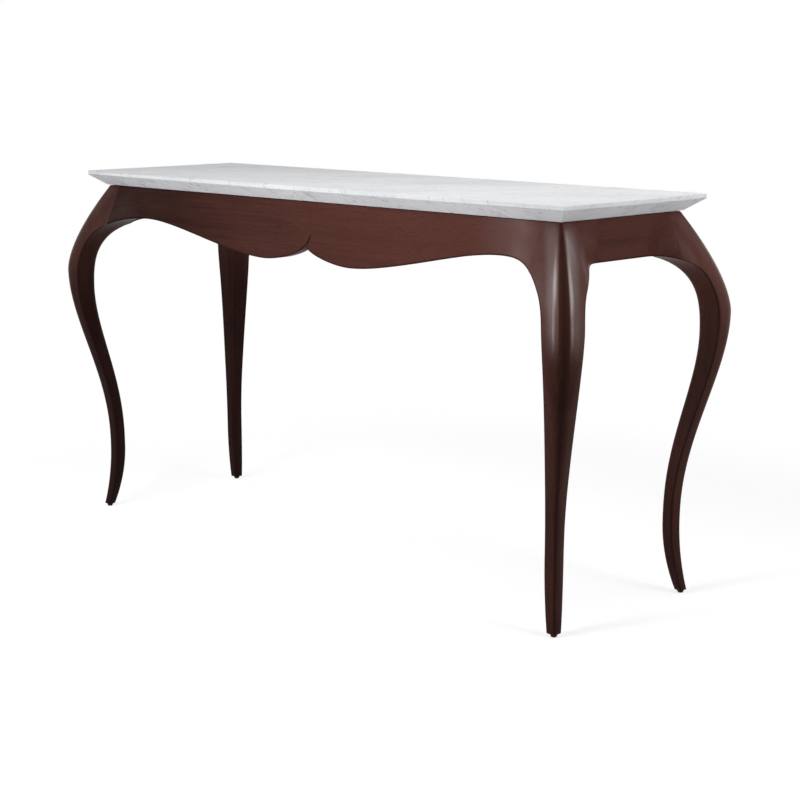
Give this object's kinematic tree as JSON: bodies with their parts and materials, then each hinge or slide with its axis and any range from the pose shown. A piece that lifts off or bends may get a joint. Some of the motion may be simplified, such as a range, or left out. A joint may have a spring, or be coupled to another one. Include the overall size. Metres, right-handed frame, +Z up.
{
  "type": "pier table",
  "caption": "Long narrow pier table: a white marble slab with an undercut edge on a dark stained wood frame with a cupid's bow apron and tall cabriole legs.",
  "frame": {"origin": "on the floor, under the middle of the table", "axes": "+X to the right along the front, +Y from the front to the back, +Z up"},
  "size_m": [1.6008, 0.5508, 0.84],
  "materials": {
    "marble": "satin",
    "stained_wood": "satin",
    "inner_wood": "matte",
    "glide": "matte",
    "pad": "matte"
  },
  "bodies": {
    "root": {"back_rail": "stained_wood", "corner_brace_back_left": "inner_wood", "corner_brace_back_right": "inner_wood", "corner_brace_front_left": "inner_wood", "corner_brace_front_right": "inner_wood", "cross_bearer_left": "inner_wood", "cross_bearer_middle": "inner_wood", "cross_bearer_right": "inner_wood", "foot_glides": "glide", "front_rail": "stained_wood", "knee_block_back_left": "stained_wood", "knee_block_back_right": "stained_wood", "knee_block_front_left": "stained_wood", "knee_block_front_right": "stained_wood", "knee_block_left_back": "stained_wood", "knee_block_left_front": "stained_wood", "knee_block_right_back": "stained_wood", "knee_block_right_front": "stained_wood", "left_rail": "stained_wood", "leg_back_left": "stained_wood", "leg_back_right": "stained_wood", "leg_front_left": "stained_wood", "leg_front_right": "stained_wood", "marble_top": "marble", "post_tenons": "inner_wood", "rail_tenons": "inner_wood", "right_rail": "stained_wood", "slab_pads": "pad"}
  },
  "joints": []
}
